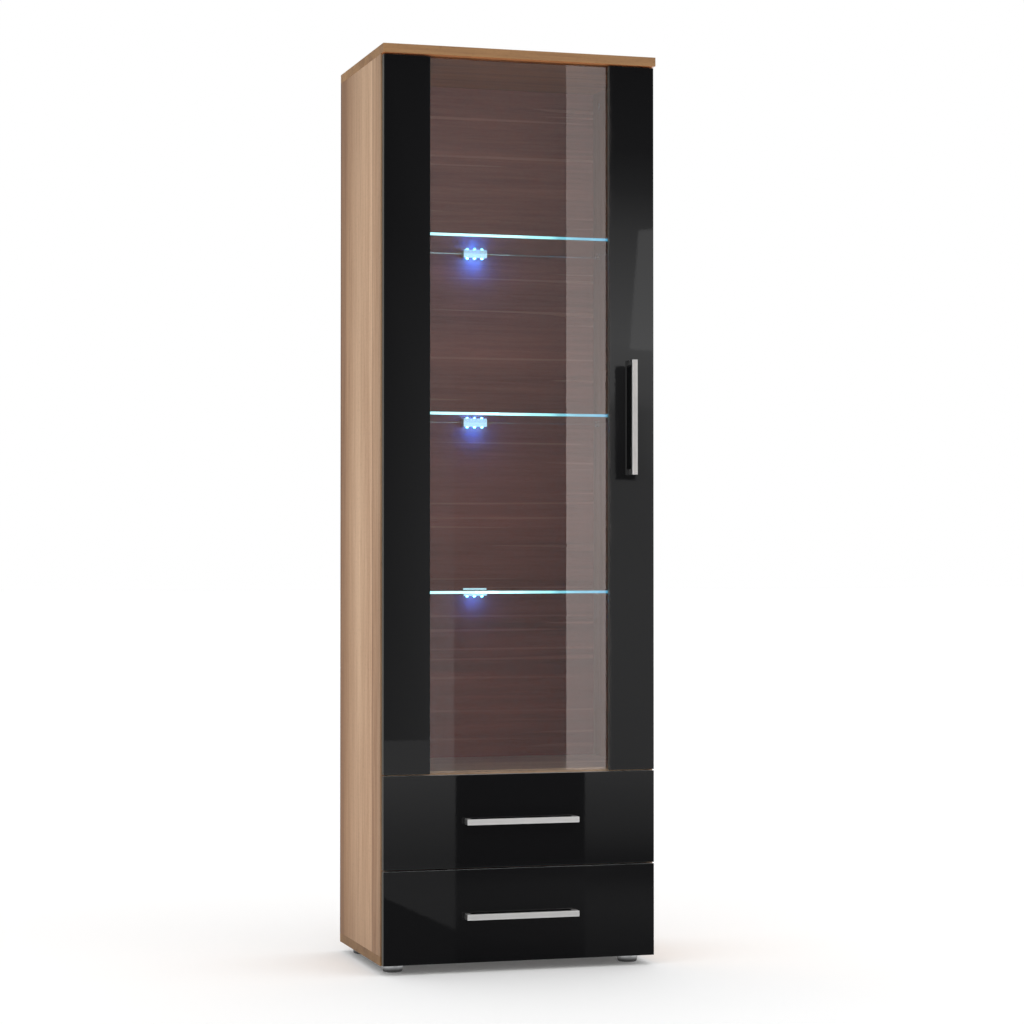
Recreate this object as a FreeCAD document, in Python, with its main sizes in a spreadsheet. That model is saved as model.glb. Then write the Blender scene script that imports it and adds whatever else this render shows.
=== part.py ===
import FreeCAD, Part
import math
import os
import re
import Sketcher
from FreeCAD import Placement, Rotation, Vector

# Tall display cabinet: one glass door above two drawers, on four glide feet.
# Frame: +Z up, +Y towards the wall, +X to the right as seen from the front.
# Origin: on the floor, at the centre of the overall box, handles included.

DIMENSIONS = [
    ("cab_width", 600, "overall width"),
    ("cab_height", 1940, "floor to top of the top panel"),
    ("cab_depth", 398, "depth of the top panel"),
    ("board_thick", 19, "top, base and display floor"),
    ("side_thick", 16, "side panels"),
    ("back_thick", 3, "grooved back panel"),
    ("back_inset", 14, "back panel to the rear edge"),
    ("groove_depth", 6, "grooves for thin panels"),
    ("edge_round", 0.8, "edge banding radius"),
    ("top_proud", 6, "top panel ahead of the door front"),
    ("door_thick", 16, "door stiles and drawer fronts"),
    ("door_gap", 2, "back of the fronts to the carcass"),
    ("side_reveal", 3, "edge of the fronts to the cabinet's side"),
    ("front_gap", 3, "gap above and between the fronts"),
    ("base_reveal", 1, "lower front above the base's underside"),
    ("front_height", 195, "each drawer front"),
    ("floor_top", 422, "top of the display floor"),
    ("stile_width", 100, "each door stile"),
    ("pane_thick", 4, "door glass"),
    ("pane_lap", 10, "door glass behind each stile"),
    ("shelf_thick", 6, "glass shelves"),
    ("shelf_setback", 27, "shelf front edge behind the carcass front"),
    ("shelf_rear_gap", 3, "shelf rear edge to the back panel"),
    ("shelf_clear", 1, "shelf end to the side panel"),
    ("shelf_first", 792, "underside of the lowest shelf"),
    ("shelf_pitch", 378, "shelf to shelf"),
    ("handle_length", 245, "bar handles"),
    ("handle_width", 12, "bar handles, across the bar"),
    ("handle_reach", 24, "bar handles, out from the front"),
    ("handle_bar", 10, "bar thickness, front to back"),
    ("handle_inset", 50, "door handle's axis to the door's edge"),
    ("handle_round", 1.2, "bar handle edges"),
    ("foot_height", 20, "glide feet"),
    ("foot_radius", 22, "glide feet, at the top"),
    ("foot_side", 40, "foot axis to the cabinet's side"),
    ("foot_edge", 52, "foot axis to the carcass's front or rear edge"),
    ("foot_bead", 1, "bead round the foot's rim, and the step of its toe"),
    ("foot_rim", 3, "height of the foot's rim and toe"),
    ("foot_well", 6, "radius of the well under the foot"),
    ("foot_seat", 6, "screw seat above the floor"),
    ("foot_head", 3, "head of the foot's screw"),
    ("foot_screw", 24, "screw of each foot"),
    ("cup_radius", 17.5, "hinge cup"),
    ("cup_depth", 12, "hinge cup in the stile"),
    ("cup_edge", 22.5, "hinge cup axis to the stile's edge"),
    ("cup_sheet", 1.2, "pressed steel of the cup and its flange"),
    ("cup_rim", 0.8, "rim round the cup"),
    ("flange_back", 5, "cup flange, from the cup's axis towards the stile's edge"),
    ("flange_width", 20, "cup flange"),
    ("flange_height", 60, "cup flange, ear to ear"),
    ("ear_in", 6, "flange screw from the cup's axis, away from the edge"),
    ("ear_up", 24, "flange screw above or below the cup's axis"),
    ("hinge_end", 100, "end hinges to the door's ends"),
    ("hinge_drop", 90, "middle hinge below the door's middle"),
    ("arm_sheet", 1.5, "steel of the hinge arm"),
    ("arm_half", 11, "hinge arm, half its height"),
    ("arm_out", 16, "hinge arm, out from its plate"),
    ("arm_length", 66, "hinge arm"),
    ("arm_fore", 0.4, "hinge arm behind the carcass front"),
    ("arm_lift", 0.2, "hinge arm to its plate"),
    ("plate_thick", 2, "hinge plate"),
    ("plate_line", 37, "hinge plate's screws behind the carcass front"),
    ("plate_fore", 24, "hinge plate behind the carcass front"),
    ("plate_depth", 32, "hinge plate, front to back"),
    ("plate_half", 26, "hinge plate, half its height"),
    ("plate_screw", 16, "hinge plate's screws above or below its middle"),
    ("link_radius", 26, "hinge link, outside, about the door axis"),
    ("link_sheet", 3, "hinge link"),
    ("link_width", 15, "hinge link, along the door axis"),
    ("link_sweep", 62, "degrees of arc of a hinge link"),
    ("axis_in", 6, "door axis to the door's left edge"),
    ("axis_fore", 12, "door axis ahead of the door's back"),
    ("runner_gap", 12.5, "drawer box to side panel"),
    ("runner_length", 320, "roller runners"),
    ("runner_tall", 28, "cabinet member of a runner"),
    ("runner_sheet", 1.2, "runner steel"),
    ("runner_lip", 6.8, "cabinet member's flange, out from the side"),
    ("runner_fore", 3, "cabinet member behind the carcass front"),
    ("runner_drop", 2, "cabinet member below the drawer box"),
    ("runner_bite", 40, "cabinet member's front screw behind the carcass front"),
    ("runner_span", 160, "cabinet member's screw to screw"),
    ("ledge_width", 5.3, "drawer member's upper flange, out from the box"),
    ("roller_radius", 11.5, "runner rollers"),
    ("roller_round", 0.8, "roller rims"),
    ("front_roller_in", 11, "front roller's outer face to the side panel"),
    ("front_roller_width", 3.6, "front roller"),
    ("front_axle_fore", 15, "front axle behind the end of its member"),
    ("front_axle_length", 9.8, "front axle"),
    ("rear_roller_in", 6.4, "rear roller's inner face to the side panel"),
    ("rear_roller_width", 4.6, "rear roller"),
    ("rear_axle_aft", 16, "rear axle ahead of the box's rear edge"),
    ("rear_axle_length", 9.6, "rear axle"),
    ("axle_radius", 3, "runner axles"),
    ("axle_play", 0.05, "radial clearance of a roller on its axle"),
    ("roll_gap", 0.3, "roller to its track"),
    ("box_rise", 30, "drawer box above the lower edge of its front"),
    ("box_depth", 330, "drawer box, front to back"),
    ("box_height", 120, "drawer box"),
    ("box_side", 12, "drawer box sides and back"),
    ("box_sheet", 3, "drawer bottom"),
    ("sheet_rise", 10, "drawer bottom above the box's lower edge"),
    ("box_fixing", 30, "screws and dowels of the drawer box"),
    ("box_head", 1.5, "heads of the box screws"),
    ("box_screw_low", 30, "lower box screw above the box's lower edge"),
    ("box_screw_high", 20, "upper box screw below the box's upper edge"),
    ("box_dowel_low", 40, "lower front dowel above the box's lower edge"),
    ("box_dowel_high", 30, "upper front dowel below the box's upper edge"),
    ("box_dowel_skin", 5, "front left ahead of its dowels"),
    ("dowel_radius", 4, "dowels"),
    ("dowel_length", 35, "dowels"),
    ("dowel_sunk", 12, "dowel in the face it enters"),
    ("cam_radius", 7.5, "cam locks"),
    ("cam_depth", 12.5, "cam locks"),
    ("cam_reach", 34, "cam axis to the board's end"),
    ("cam_key", 2.6, "radius of a cam's driver recess"),
    ("cam_key_depth", 2, "driver recess of a cam"),
    ("bolt_radius", 2.5, "cam bolts"),
    ("bolt_sunk", 11, "cam bolt in the face it enters"),
    ("bolt_edge", 60, "cam bolt to the board's front or rear edge"),
    ("dowel_edge", 92, "dowel to the board's front or rear edge"),
    ("screw_radius", 1.75, "wood screws"),
    ("head_radius", 3.5, "wood screw heads"),
    ("short_screw", 11, "screws of hinges, runners, keepers and bracket"),
    ("handle_bolt", 2, "radius of the handle screws"),
    ("handle_head", 2.2, "heads of the handle screws"),
    ("handle_bite", 12, "handle screw in the handle's leg, its head's recess included"),
    ("pin_radius", 2.5, "shelf pins, in the side panel"),
    ("pin_sunk", 10, "shelf pin in the side panel"),
    ("pin_collar", 3.5, "radius of a pin under the shelf"),
    ("pin_reach", 9, "shelf pin out from the side panel"),
    ("pin_edge", 40, "shelf pin to the shelf's front or rear edge"),
    ("glass_round", 0.5, "ground glass edges"),
    ("light_width", 54, "light clip along the shelf's edge"),
    ("light_lip", 16, "light clip under the shelf"),
    ("light_top", 12, "light clip over the shelf"),
    ("light_back", 2.5, "light clip behind the shelf"),
    ("light_sheet", 2, "light clip's upper lip"),
    ("light_low", 9, "light clip's lower lip"),
    ("lens_radius", 3.2, "lenses"),
    ("lens_pitch", 17, "lens to lens"),
    ("lens_in", 9, "lenses ahead of the shelf's rear edge"),
    ("lens_sunk", 3, "lens in the clip"),
    ("driver_width", 120, "lighting driver"),
    ("driver_height", 46, "lighting driver"),
    ("driver_depth", 21, "lighting driver"),
    ("driver_round", 3, "lighting driver's edges"),
    ("driver_aside", 150, "driver's middle left of the cabinet's middle"),
    ("driver_rise", 12, "driver above the base"),
    ("outlet_aside", 40, "cable outlet left of the cabinet's middle"),
    ("outlet_rise", 40, "cable outlet above the base"),
    ("outlet_radius", 15, "cable outlet in the back panel"),
    ("bush_wall", 4, "cable bush, and how far its flange stands out"),
    ("bush_flange", 1.5, "cable bush's flange"),
    ("bush_behind", 3, "cable bush behind the back panel"),
    ("bracket_thick", 2, "wall bracket"),
    ("bracket_width", 44, "wall bracket"),
    ("bracket_depth", 26, "wall bracket on the top"),
    ("bracket_height", 22, "wall bracket above the top"),
    ("bracket_screw_in", 16, "bracket's screws to the rear edge"),
    ("bracket_screw_half", 11, "bracket's screws to its middle"),
    ("wall_hole", 2.75, "radius of the bracket's hole for the wall screw"),
    ("wall_hole_up", 13, "wall screw above the top"),
    ("keeper_width", 20, "glass keepers"),
    ("keeper_height", 16, "glass keepers"),
    ("keeper_thick", 1.5, "glass keepers"),
    ("keeper_shift", 2, "glass keeper's middle beyond the pane's edge"),
    ("keeper_screw", 4.5, "keeper's screw beyond its middle"),
    ("keeper_end", 125, "end keepers to the door's ends"),
    ("pane_play", 0.4, "door glass in its rebate"),
    ("pane_short", 1, "door glass below the ends of the stiles"),
    ("pad_inset", 6, "bump pads to the door's right edge"),
    ("pad_end", 30, "bump pads to the door's ends"),
    ("pad_radius", 4, "bump pads"),
    ("pad_thick", 1.6, "bump pads"),
]
NAMES = {name for name, size, meaning in DIMENSIONS}

# Places along the axes that many pieces share.
REAR = "((cab_depth + handle_reach - top_proud) / 2)"
FACE = "((handle_reach + top_proud - cab_depth) / 2)"
FRONT = f"({FACE} + door_thick + door_gap)"
DOOR_BACK = f"({FACE} + door_thick)"
BACK_IN = f"({REAR} - back_inset - back_thick)"
SHELF_REAR = f"({BACK_IN} - shelf_rear_gap)"
SIDE_IN = "(cab_width / 2 - side_thick)"
SIDE_MID = "(cab_width / 2 - side_thick / 2)"
FRONT_HALF = "(cab_width / 2 - side_reveal)"
BASE_TOP = "(foot_height + board_thick)"
TOP_UNDER = "(cab_height - board_thick)"
DOOR_LOW = "(foot_height + base_reveal + 2 * front_height + 2 * front_gap)"
DOOR_HIGH = f"({TOP_UNDER} - front_gap)"
DOOR_MID = f"(({DOOR_LOW} + {DOOR_HIGH}) / 2)"
BOX_HALF = f"({SIDE_IN} - runner_gap)"
AXIS_X = "(side_reveal + axis_in - cab_width / 2)"
AXIS_Y = f"({DOOR_BACK} - axis_fore)"

LEFT, RIGHT = Vector(-1, 0, 0), Vector(1, 0, 0)
FORE, AFT = Vector(0, -1, 0), Vector(0, 1, 0)
UP, DOWN = Vector(0, 0, 1), Vector(0, 0, -1)
DRAWERS = {"lower": "(foot_height + base_reveal)",
           "upper": "(foot_height + base_reveal + front_height + front_gap)"}
SHELVES = {"lower": 0, "middle": 1, "upper": 2}
HINGES = [f"({DOOR_LOW} + hinge_end)", f"({DOOR_MID} - hinge_drop)", f"({DOOR_HIGH} - hinge_end)"]
CUP_X = "(side_reveal + cup_edge - cab_width / 2)"
LINK_START = 5      # degrees from +X, hinge links
KEEPERS = 5         # on each stile
SIDES = (("-1", Vector(1, 0, 0)), ("1", Vector(-1, 0, 0)))      # left and right, each with its way inwards

doc = FreeCAD.newDocument("DisplayCabinet")
parts = {}


def make_sheet():
    """The driving dimensions, one named cell each."""
    sheet = doc.addObject("Spreadsheet::Sheet", "Dims")
    for row, (name, size, meaning) in enumerate(DIMENSIONS, 1):
        sheet.set(f"A{row}", meaning)
        sheet.set(f"B{row}", str(size))
        sheet.setAlias(f"B{row}", name)
    doc.recompute()


def bound(text):
    """The expression with each dimension name pointed at its cell."""
    def cell(word):
        name = word.group()
        return f"Dims.{name}" if name in NAMES else name
    return re.sub("[a-z_]+", cell, text)


def keep(made, label):
    """Name a finished sub-part and list it for export."""
    made.Label = label
    parts[label] = made
    return made


def place(made, at, turn=None):
    """Set an object down at a point given by three expressions."""
    if turn:
        made.Placement = Placement(Vector(), turn)
    for axis, text in zip("xyz", at):
        made.setExpression(f"Placement.Base.{axis}", bound(text))
    return made


def shift(at, direction, distance):
    """The point a distance further along an axis direction."""
    moved = []
    for text, step in zip(at, direction):
        moved.append(f"({text} + ({step:g}) * ({distance}))" if step else text)
    return tuple(moved)


# ---- shapes -------------------------------------------------------------------------------------

def new_sketch(body, plane, name):
    """A sketch on one of the body's origin planes."""
    sketch = body.newObject("Sketcher::SketchObject", name)
    support = [feature for feature in body.Origin.OriginFeatures if feature.Role == f"{plane}_Plane"][0]
    sketch.AttachmentSupport = [(support, "")]
    sketch.MapMode = "FlatFace"
    return sketch


def pin_down(sketch, geometry, corner, x, y):
    """Hold one point of a sketch's geometry at x, y."""
    for kind, text in (("DistanceX", x), ("DistanceY", y)):
        index = sketch.addConstraint(Sketcher.Constraint(kind, -1, 1, geometry, corner, 1.0))
        sketch.setExpression(f"Constraints[{index}]", bound(text))


def draw_outline(sketch, points):
    """A closed outline of straight edges through the given points."""
    count = len(points)
    turns = [2 * math.pi * k / count for k in range(count)]
    ring = [Vector(10 * math.cos(turn), 10 * math.sin(turn), 0) for turn in turns]
    for k in range(count):
        sketch.addGeometry(Part.LineSegment(ring[k], ring[(k + 1) % count]), False)
    for k in range(count):
        sketch.addConstraint(Sketcher.Constraint("Coincident", k, 2, (k + 1) % count, 1))
    for k, (x, y) in enumerate(points):
        pin_down(sketch, k, 1, x, y)


def rectangle(x_low, y_low, x_high, y_high):
    return [(x_low, y_low), (x_high, y_low), (x_high, y_high), (x_low, y_high)]


def extrude(name, plane, points, length, at, round_by=None):
    """A body padded from an outline, along the plane's positive axis, with its edges rounded if asked."""
    body = doc.addObject("PartDesign::Body", name)
    sketch = new_sketch(body, plane, name + "_outline")
    draw_outline(sketch, points)
    pad = body.newObject("PartDesign::Pad", name + "_pad")
    pad.Profile = sketch
    pad.Reversed = plane == "XZ"
    pad.setExpression("Length", bound(length))
    if round_by:
        doc.recompute()
        fillet = body.newObject("PartDesign::Fillet", name + "_rounding")
        fillet.Base = (pad, [f"Edge{k + 1}" for k in range(len(pad.Shape.Edges))])
        fillet.setExpression("Radius", bound(round_by))
    return place(body, at)


def board(name, width, depth, height, at, round_by="edge_round"):
    """A rectangular board; at is the middle of its lower front edge."""
    outline = rectangle(f"-({width}) / 2", "0", f"({width}) / 2", depth)
    return extrude(name, "XY", outline, height, at, round_by)


def turned(name, points, at, turn=None):
    """A body revolved from a half outline of (radius, height) points."""
    body = doc.addObject("PartDesign::Body", name)
    sketch = new_sketch(body, "XZ", name + "_half")
    draw_outline(sketch, points)
    spin = body.newObject("PartDesign::Revolution", name + "_turn")
    spin.Profile = sketch
    spin.ReferenceAxis = (sketch, ["V_Axis"])
    spin.Angle = 360
    return place(body, at, turn)


def rod(at, direction, radius, length):
    """A round rod that starts at a point and runs along a direction, or upwards if given a turn."""
    made = doc.addObject("Part::Cylinder", "rod")
    made.setExpression("Radius", bound(radius))
    made.setExpression("Height", bound(length))
    turn = direction if isinstance(direction, Rotation) else Rotation(UP, direction)
    return place(made, at, turn)


def block(at, width, depth, height):
    """A plain block; at is its corner with the lowest x, y and z."""
    made = doc.addObject("Part::Box", "block")
    for name, text in (("Length", width), ("Width", depth), ("Height", height)):
        made.setExpression(name, bound(text))
    return place(made, at)


def group(pieces):
    made = doc.addObject("Part::Compound", "group")
    made.Links = pieces
    return made


def fuse(pieces):
    made = doc.addObject("Part::MultiFuse", "fused")
    made.Shapes = pieces
    return made


def cut(base, tools):
    made = doc.addObject("Part::Cut", "cut")
    made.Base = base
    made.Tool = group(tools) if len(tools) > 1 else tools[0]
    return made


# ---- fasteners ----------------------------------------------------------------------------------

class Fittings:
    """The dowels, cam bolts and cam locks that hold the carcass boards together."""

    def __init__(self):
        self.dowels, self.bolts, self.bores, self.cams, self.recesses = [], [], [], [], []

    def add(self, bolt_at, dowel_at, along, face, half_board):
        """One cam and one dowel; along points into the other board, face out of the cam's own face."""
        self.dowels.append(rod(shift(dowel_at, along, "dowel_sunk - dowel_length"), along,
                               "dowel_radius", "dowel_length"))
        axis = shift(bolt_at, along, "-cam_reach")
        self.bolts.append(rod(axis, along, "bolt_radius", "cam_reach + bolt_sunk"))
        self.bores.append(rod(axis, along, "dowel_radius", "cam_reach"))
        blank = shift(axis, face, f"{half_board} - cam_depth")
        self.cams.append(rod(blank, face, "cam_radius", "cam_depth"))
        recess = shift(axis, face, f"{half_board} - cam_key_depth")
        self.recesses.append(rod(recess, face, "cam_key", "cam_key_depth"))


def from_edge(edge, sign):
    """The depths of a cam bolt and its dowel, counted from a board's front or rear edge."""
    return f"{edge} {sign} bolt_edge", f"{edge} {sign} dowel_edge"


def join_boards():
    """Fittings from the sides into the top and base, and from the display floor into the sides."""
    fittings = Fittings()
    for side, inward in SIDES:
        x = f"({side}) * {SIDE_MID}"
        for z, along in ((TOP_UNDER, UP), (BASE_TOP, DOWN)):
            for bolt_y, dowel_y in (from_edge(FRONT, "+"), from_edge(REAR, "-")):
                fittings.add((x, bolt_y, z), (x, dowel_y, z), along, inward, "side_thick / 2")
        x = f"({side}) * {SIDE_IN}"
        z = "floor_top - board_thick / 2"
        for bolt_y, dowel_y in (from_edge(FRONT, "+"), from_edge(BACK_IN, "-")):
            fittings.add((x, bolt_y, z), (x, dowel_y, z), inward * -1, DOWN, "board_thick / 2")
    made = {"dowels": group(fittings.dowels), "bolts": group(fittings.bolts),
            "bores": group(fittings.bores), "blanks": group(fittings.cams)}
    keep(made["dowels"], "dowels")
    keep(made["bolts"], "cam_bolts")
    keep(cut(made["blanks"], [made["bores"], group(fittings.recesses)]), "cam_locks")
    return made


def screw(at, direction, head, length, radius="screw_radius"):
    """A screw whose head starts at a point and is driven along a direction."""
    shank = rod(shift(at, direction, head), direction, radius, length)
    return fuse([rod(at, direction, "head_radius", head), shank])


def runner_low(drawer):
    """Underside of the cabinet runner of a drawer."""
    return f"({DRAWERS[drawer]} + box_rise - runner_drop)"


def carcass_screws():
    """Screws of the feet, the wall bracket, the hinge plates and the cabinet runners."""
    made = []
    for x, y in foot_places():
        made.append(screw((x, y, "foot_seat"), UP, "foot_head", "foot_screw"))
    for x in ("-bracket_screw_half", "bracket_screw_half"):
        at = (x, f"{REAR} - bracket_screw_in", "cab_height + bracket_thick")
        made.append(screw(at, DOWN, "bracket_thick", "short_screw"))
    for z in HINGES:
        for step in ("-plate_screw", "plate_screw"):
            at = (f"plate_thick - {SIDE_IN}", f"{FRONT} + plate_line", f"{z} + {step}")
            made.append(screw(at, LEFT, "plate_thick", "short_screw"))
    for drawer in DRAWERS:
        z = f"{runner_low(drawer)} + runner_tall / 2"
        for side, inward in SIDES:
            for step in ("runner_bite", "runner_bite + runner_span"):
                at = (f"({side}) * ({SIDE_IN} - runner_sheet)", f"{FRONT} + {step}", z)
                made.append(screw(at, inward * -1, "runner_sheet", "short_screw"))
    return keep(group(made), "carcass_screws")


# ---- carcass ------------------------------------------------------------------------------------

def back_groove(low, height):
    """The back panel's slot in a board, from a height upwards."""
    reach = f"({SIDE_IN} + groove_depth)"
    return block((f"-{reach}", BACK_IN, low), f"2 * {reach}", "back_thick", height)


def make_panels(fittings, screws, pins):
    """Top, base, two sides, back and display floor, grooved and drilled."""
    at = ("0", f"{REAR} - cab_depth", TOP_UNDER)
    top = board("top_board", "cab_width", "cab_depth", "board_thick", at)
    slot = back_groove(TOP_UNDER, "groove_depth")
    keep(cut(top, [slot, fittings["dowels"], fittings["bolts"], screws]), "top_panel")

    at = ("0", FRONT, "foot_height")
    base = board("base_board", "cab_width", f"{REAR} - {FRONT}", "board_thick", at)
    slot = back_groove(f"{BASE_TOP} - groove_depth", "groove_depth")
    keep(cut(base, [slot, fittings["dowels"], fittings["bolts"], screws]), "base_panel")

    for name, side in (("left", "-1"), ("right", "1")):
        at = (f"({side}) * {SIDE_MID}", FRONT, BASE_TOP)
        height = f"{TOP_UNDER} - {BASE_TOP}"
        blank = board(name + "_side_board", "side_thick", f"{REAR} - {FRONT}", height, at)
        bored = [fittings[kind] for kind in ("dowels", "bolts", "bores", "blanks")]
        keep(cut(blank, bored + [back_groove("0", "cab_height"), screws, pins]), name + "_side_panel")

    at = ("0", FRONT, "floor_top - board_thick")
    floor = board("floor_board", f"2 * {SIDE_IN}", f"{BACK_IN} - {FRONT}", "board_thick", at)
    keep(cut(floor, [fittings[kind] for kind in ("dowels", "bores", "blanks")]), "display_floor")

    width = f"2 * ({SIDE_IN} + groove_depth)"
    height = f"{TOP_UNDER} - {BASE_TOP} + 2 * groove_depth"
    at = ("0", BACK_IN, f"{BASE_TOP} - groove_depth")
    back = board("back_board", width, "back_thick", height, at, None)
    keep(cut(back, [rod(outlet_place(), AFT, "outlet_radius", "back_thick")]), "back_panel")


def foot_places():
    """Axes of the four feet."""
    return [(f"({side}) * (cab_width / 2 - foot_side)", y)
            for y in (f"{FRONT} + foot_edge", f"{REAR} - foot_edge") for side in ("-1", "1")]


def make_feet():
    """Round glides with a rounded rim, a tapered skirt and a screw seat in the middle."""
    names = ["foot_front_left", "foot_front_right", "foot_rear_left", "foot_rear_right"]
    head_top = "foot_seat + foot_head"
    half = [("screw_radius", head_top), ("screw_radius", "foot_height"), ("foot_radius", "foot_height"),
            ("foot_radius + foot_bead", "foot_height - foot_rim"), ("foot_radius - foot_bead", "foot_rim"),
            ("foot_radius - 2 * foot_bead", "foot_bead"), ("foot_radius - 4 * foot_bead", "0"),
            ("foot_well", "0"), ("foot_well", "foot_seat"), ("head_radius", "foot_seat"),
            ("head_radius", head_top)]
    for name, (x, y) in zip(names, foot_places()):
        keep(turned(name, half, (x, y, "0")), name)


def shelf_low(level):
    """Underside of a glass shelf."""
    return f"(shelf_first + {level} * shelf_pitch)"


def shelf_pins():
    """Four stepped pins under each glass shelf."""
    made = []
    for level in SHELVES.values():
        for side, inward in SIDES:
            for y in (f"{FRONT} + shelf_setback + pin_edge", f"{SHELF_REAR} - pin_edge"):
                at = (f"({side}) * {SIDE_IN}", y, f"{shelf_low(level)} - pin_collar")
                peg = rod(shift(at, inward, "-pin_sunk"), inward, "pin_radius", "pin_sunk")
                made.append(fuse([peg, rod(at, inward, "pin_collar", "pin_reach")]))
    return keep(group(made), "shelf_pins")


def make_shelves():
    """Glass shelves with ground edges."""
    width = f"2 * ({SIDE_IN} - shelf_clear)"
    depth = f"{SHELF_REAR} - {FRONT} - shelf_setback"
    for name, level in SHELVES.items():
        at = ("0", f"{FRONT} + shelf_setback", shelf_low(level))
        keep(board("shelf_" + name, width, depth, "shelf_thick", at, "glass_round"), "glass_shelf_" + name)


def lens(at):
    """A cylindrical seat with a dome below it."""
    dome = doc.addObject("Part::Sphere", "dome")
    dome.setExpression("Radius", bound("lens_radius"))
    dome.Angle2 = 0
    return fuse([place(dome, at), rod(at, UP, "lens_radius", "lens_sunk")])


def make_lights():
    """A light clip on the rear edge of each shelf, with three lenses in its lower lip."""
    lenses = []
    upper = "shelf_thick + light_sheet"
    profile = [("-light_lip", "-light_low"), ("light_back", "-light_low"), ("light_back", upper),
               ("-light_top", upper), ("-light_top", "shelf_thick"), ("0", "shelf_thick"), ("0", "0"),
               ("-light_lip", "0")]
    for name, level in SHELVES.items():
        z = shelf_low(level)
        clip = extrude("clip_" + name, "YZ", profile, "light_width", ("-light_width / 2", SHELF_REAR, z))
        lens_y, lens_z = f"{SHELF_REAR} - lens_in", f"{z} - light_low"
        places = [(x, lens_y, lens_z) for x in ("-lens_pitch", "0", "lens_pitch")]
        seats = [rod(at, UP, "lens_radius", "lens_sunk") for at in places]
        lenses += [lens(at) for at in places]
        keep(cut(clip, seats), "led_clip_" + name)
    keep(group(lenses), "led_lenses")


def make_driver():
    """The lighting driver, on the back panel behind the lower drawer."""
    outline = rectangle("-driver_width / 2", "0", "driver_width / 2", "driver_height")
    at = ("-driver_aside", f"{BACK_IN} - driver_depth", f"{BASE_TOP} + driver_rise")
    keep(extrude("driver_case", "XZ", outline, "driver_depth", at, "driver_round"), "led_driver")


def outlet_place():
    """Centre of the cable outlet in the back panel."""
    return ("-outlet_aside", BACK_IN, f"{BASE_TOP} + outlet_rise")


def make_grommet():
    """A flanged bush in the back panel, for the lighting lead."""
    bore, rim, rear = "outlet_radius - bush_wall", "outlet_radius + bush_wall", "back_thick + bush_behind"
    half = [(bore, "-bush_flange"), (rim, "-bush_flange"), (rim, "0"), ("outlet_radius", "0"),
            ("outlet_radius", rear), (bore, rear)]
    keep(turned("grommet", half, outlet_place(), Rotation(UP, AFT)), "cable_grommet")


def make_bracket(screws):
    """A steel angle on top of the cabinet, for a screw into the wall."""
    profile = [("-bracket_depth", "0"), ("0", "0"), ("0", "bracket_height"),
               ("-bracket_thick", "bracket_height"), ("-bracket_thick", "bracket_thick"),
               ("-bracket_depth", "bracket_thick")]
    at = ("-bracket_width / 2", REAR, "cab_height")
    angle = extrude("bracket_angle", "YZ", profile, "bracket_width", at)
    at = ("0", f"{REAR} - bracket_thick", "cab_height + wall_hole_up")
    hole = rod(at, AFT, "wall_hole", "bracket_thick")
    keep(cut(angle, [hole, screws]), "wall_bracket")


# ---- door ---------------------------------------------------------------------------------------

def make_handle(name, centre, upright, screw_bodies):
    """A bar bent square at both ends; centre is on the front it is fixed to."""
    end, leg, under = "handle_length / 2", "(handle_length / 2 - handle_width)", "handle_bar - handle_reach"
    profile = [(f"-{end}", "0"), (f"-{end}", "-handle_reach"), (end, "-handle_reach"), (end, "0"),
               (leg, "0"), (leg, under), (f"-{leg}", under), (f"-{leg}", "0")]
    low = shift(centre, LEFT if upright else DOWN, "handle_width / 2")
    if upright:
        profile = [(y, x) for x, y in reversed(profile)]
    bar = extrude(name + "_bar", "YZ" if upright else "XY", profile, "handle_width", low, "handle_round")
    keep(cut(bar, screw_bodies), name)


def handle_screws(centre, upright):
    """Two screws through a front into the legs of its handle."""
    made = []
    for step in ("-1", "1"):
        at = shift(centre, UP if upright else RIGHT, f"({step}) * (handle_length - handle_width) / 2")
        at = shift(at, AFT, "door_thick + handle_head")
        made.append(screw(at, FORE, "handle_head", "door_thick + handle_bite", "handle_bolt"))
    return made


def make_links():
    """One curved link in each of the three hinges, concentric with the door's axis."""
    links = []
    for z in HINGES:
        at = (AXIS_X, AXIS_Y, f"{z} - link_width / 2")
        outer = rod(at, Rotation(UP, LINK_START), "link_radius", "link_width")
        outer.setExpression("Angle", bound("link_sweep"))
        links.append(cut(outer, [rod(at, UP, "link_radius - link_sheet", "link_width")]))
    keep(group(links), "hinge_links")


def make_hinges(screws):
    """Arms and plates on the left side panel; cups in the left stile."""
    arms, plates = [], []
    inner, web = "(arm_half - arm_sheet)", "arm_out - arm_sheet"
    outline = [("0", "-arm_half"), ("arm_out", "-arm_half"), ("arm_out", "arm_half"), ("0", "arm_half"),
               ("0", inner), (web, inner), (web, f"-{inner}"), ("0", f"-{inner}")]
    for z in HINGES:
        at = (f"plate_thick + arm_lift - {SIDE_IN}", f"{FRONT} + arm_fore", z)
        arms.append(extrude("arm", "XZ", outline, "arm_length", at))
        at = (f"-{SIDE_IN}", f"{FRONT} + plate_fore", f"{z} - plate_half")
        plates.append(block(at, "plate_thick", "plate_depth", "2 * plate_half"))
    keep(group(arms), "hinge_arms")
    keep(cut(group(plates), [screws]), "hinge_plates")


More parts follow.
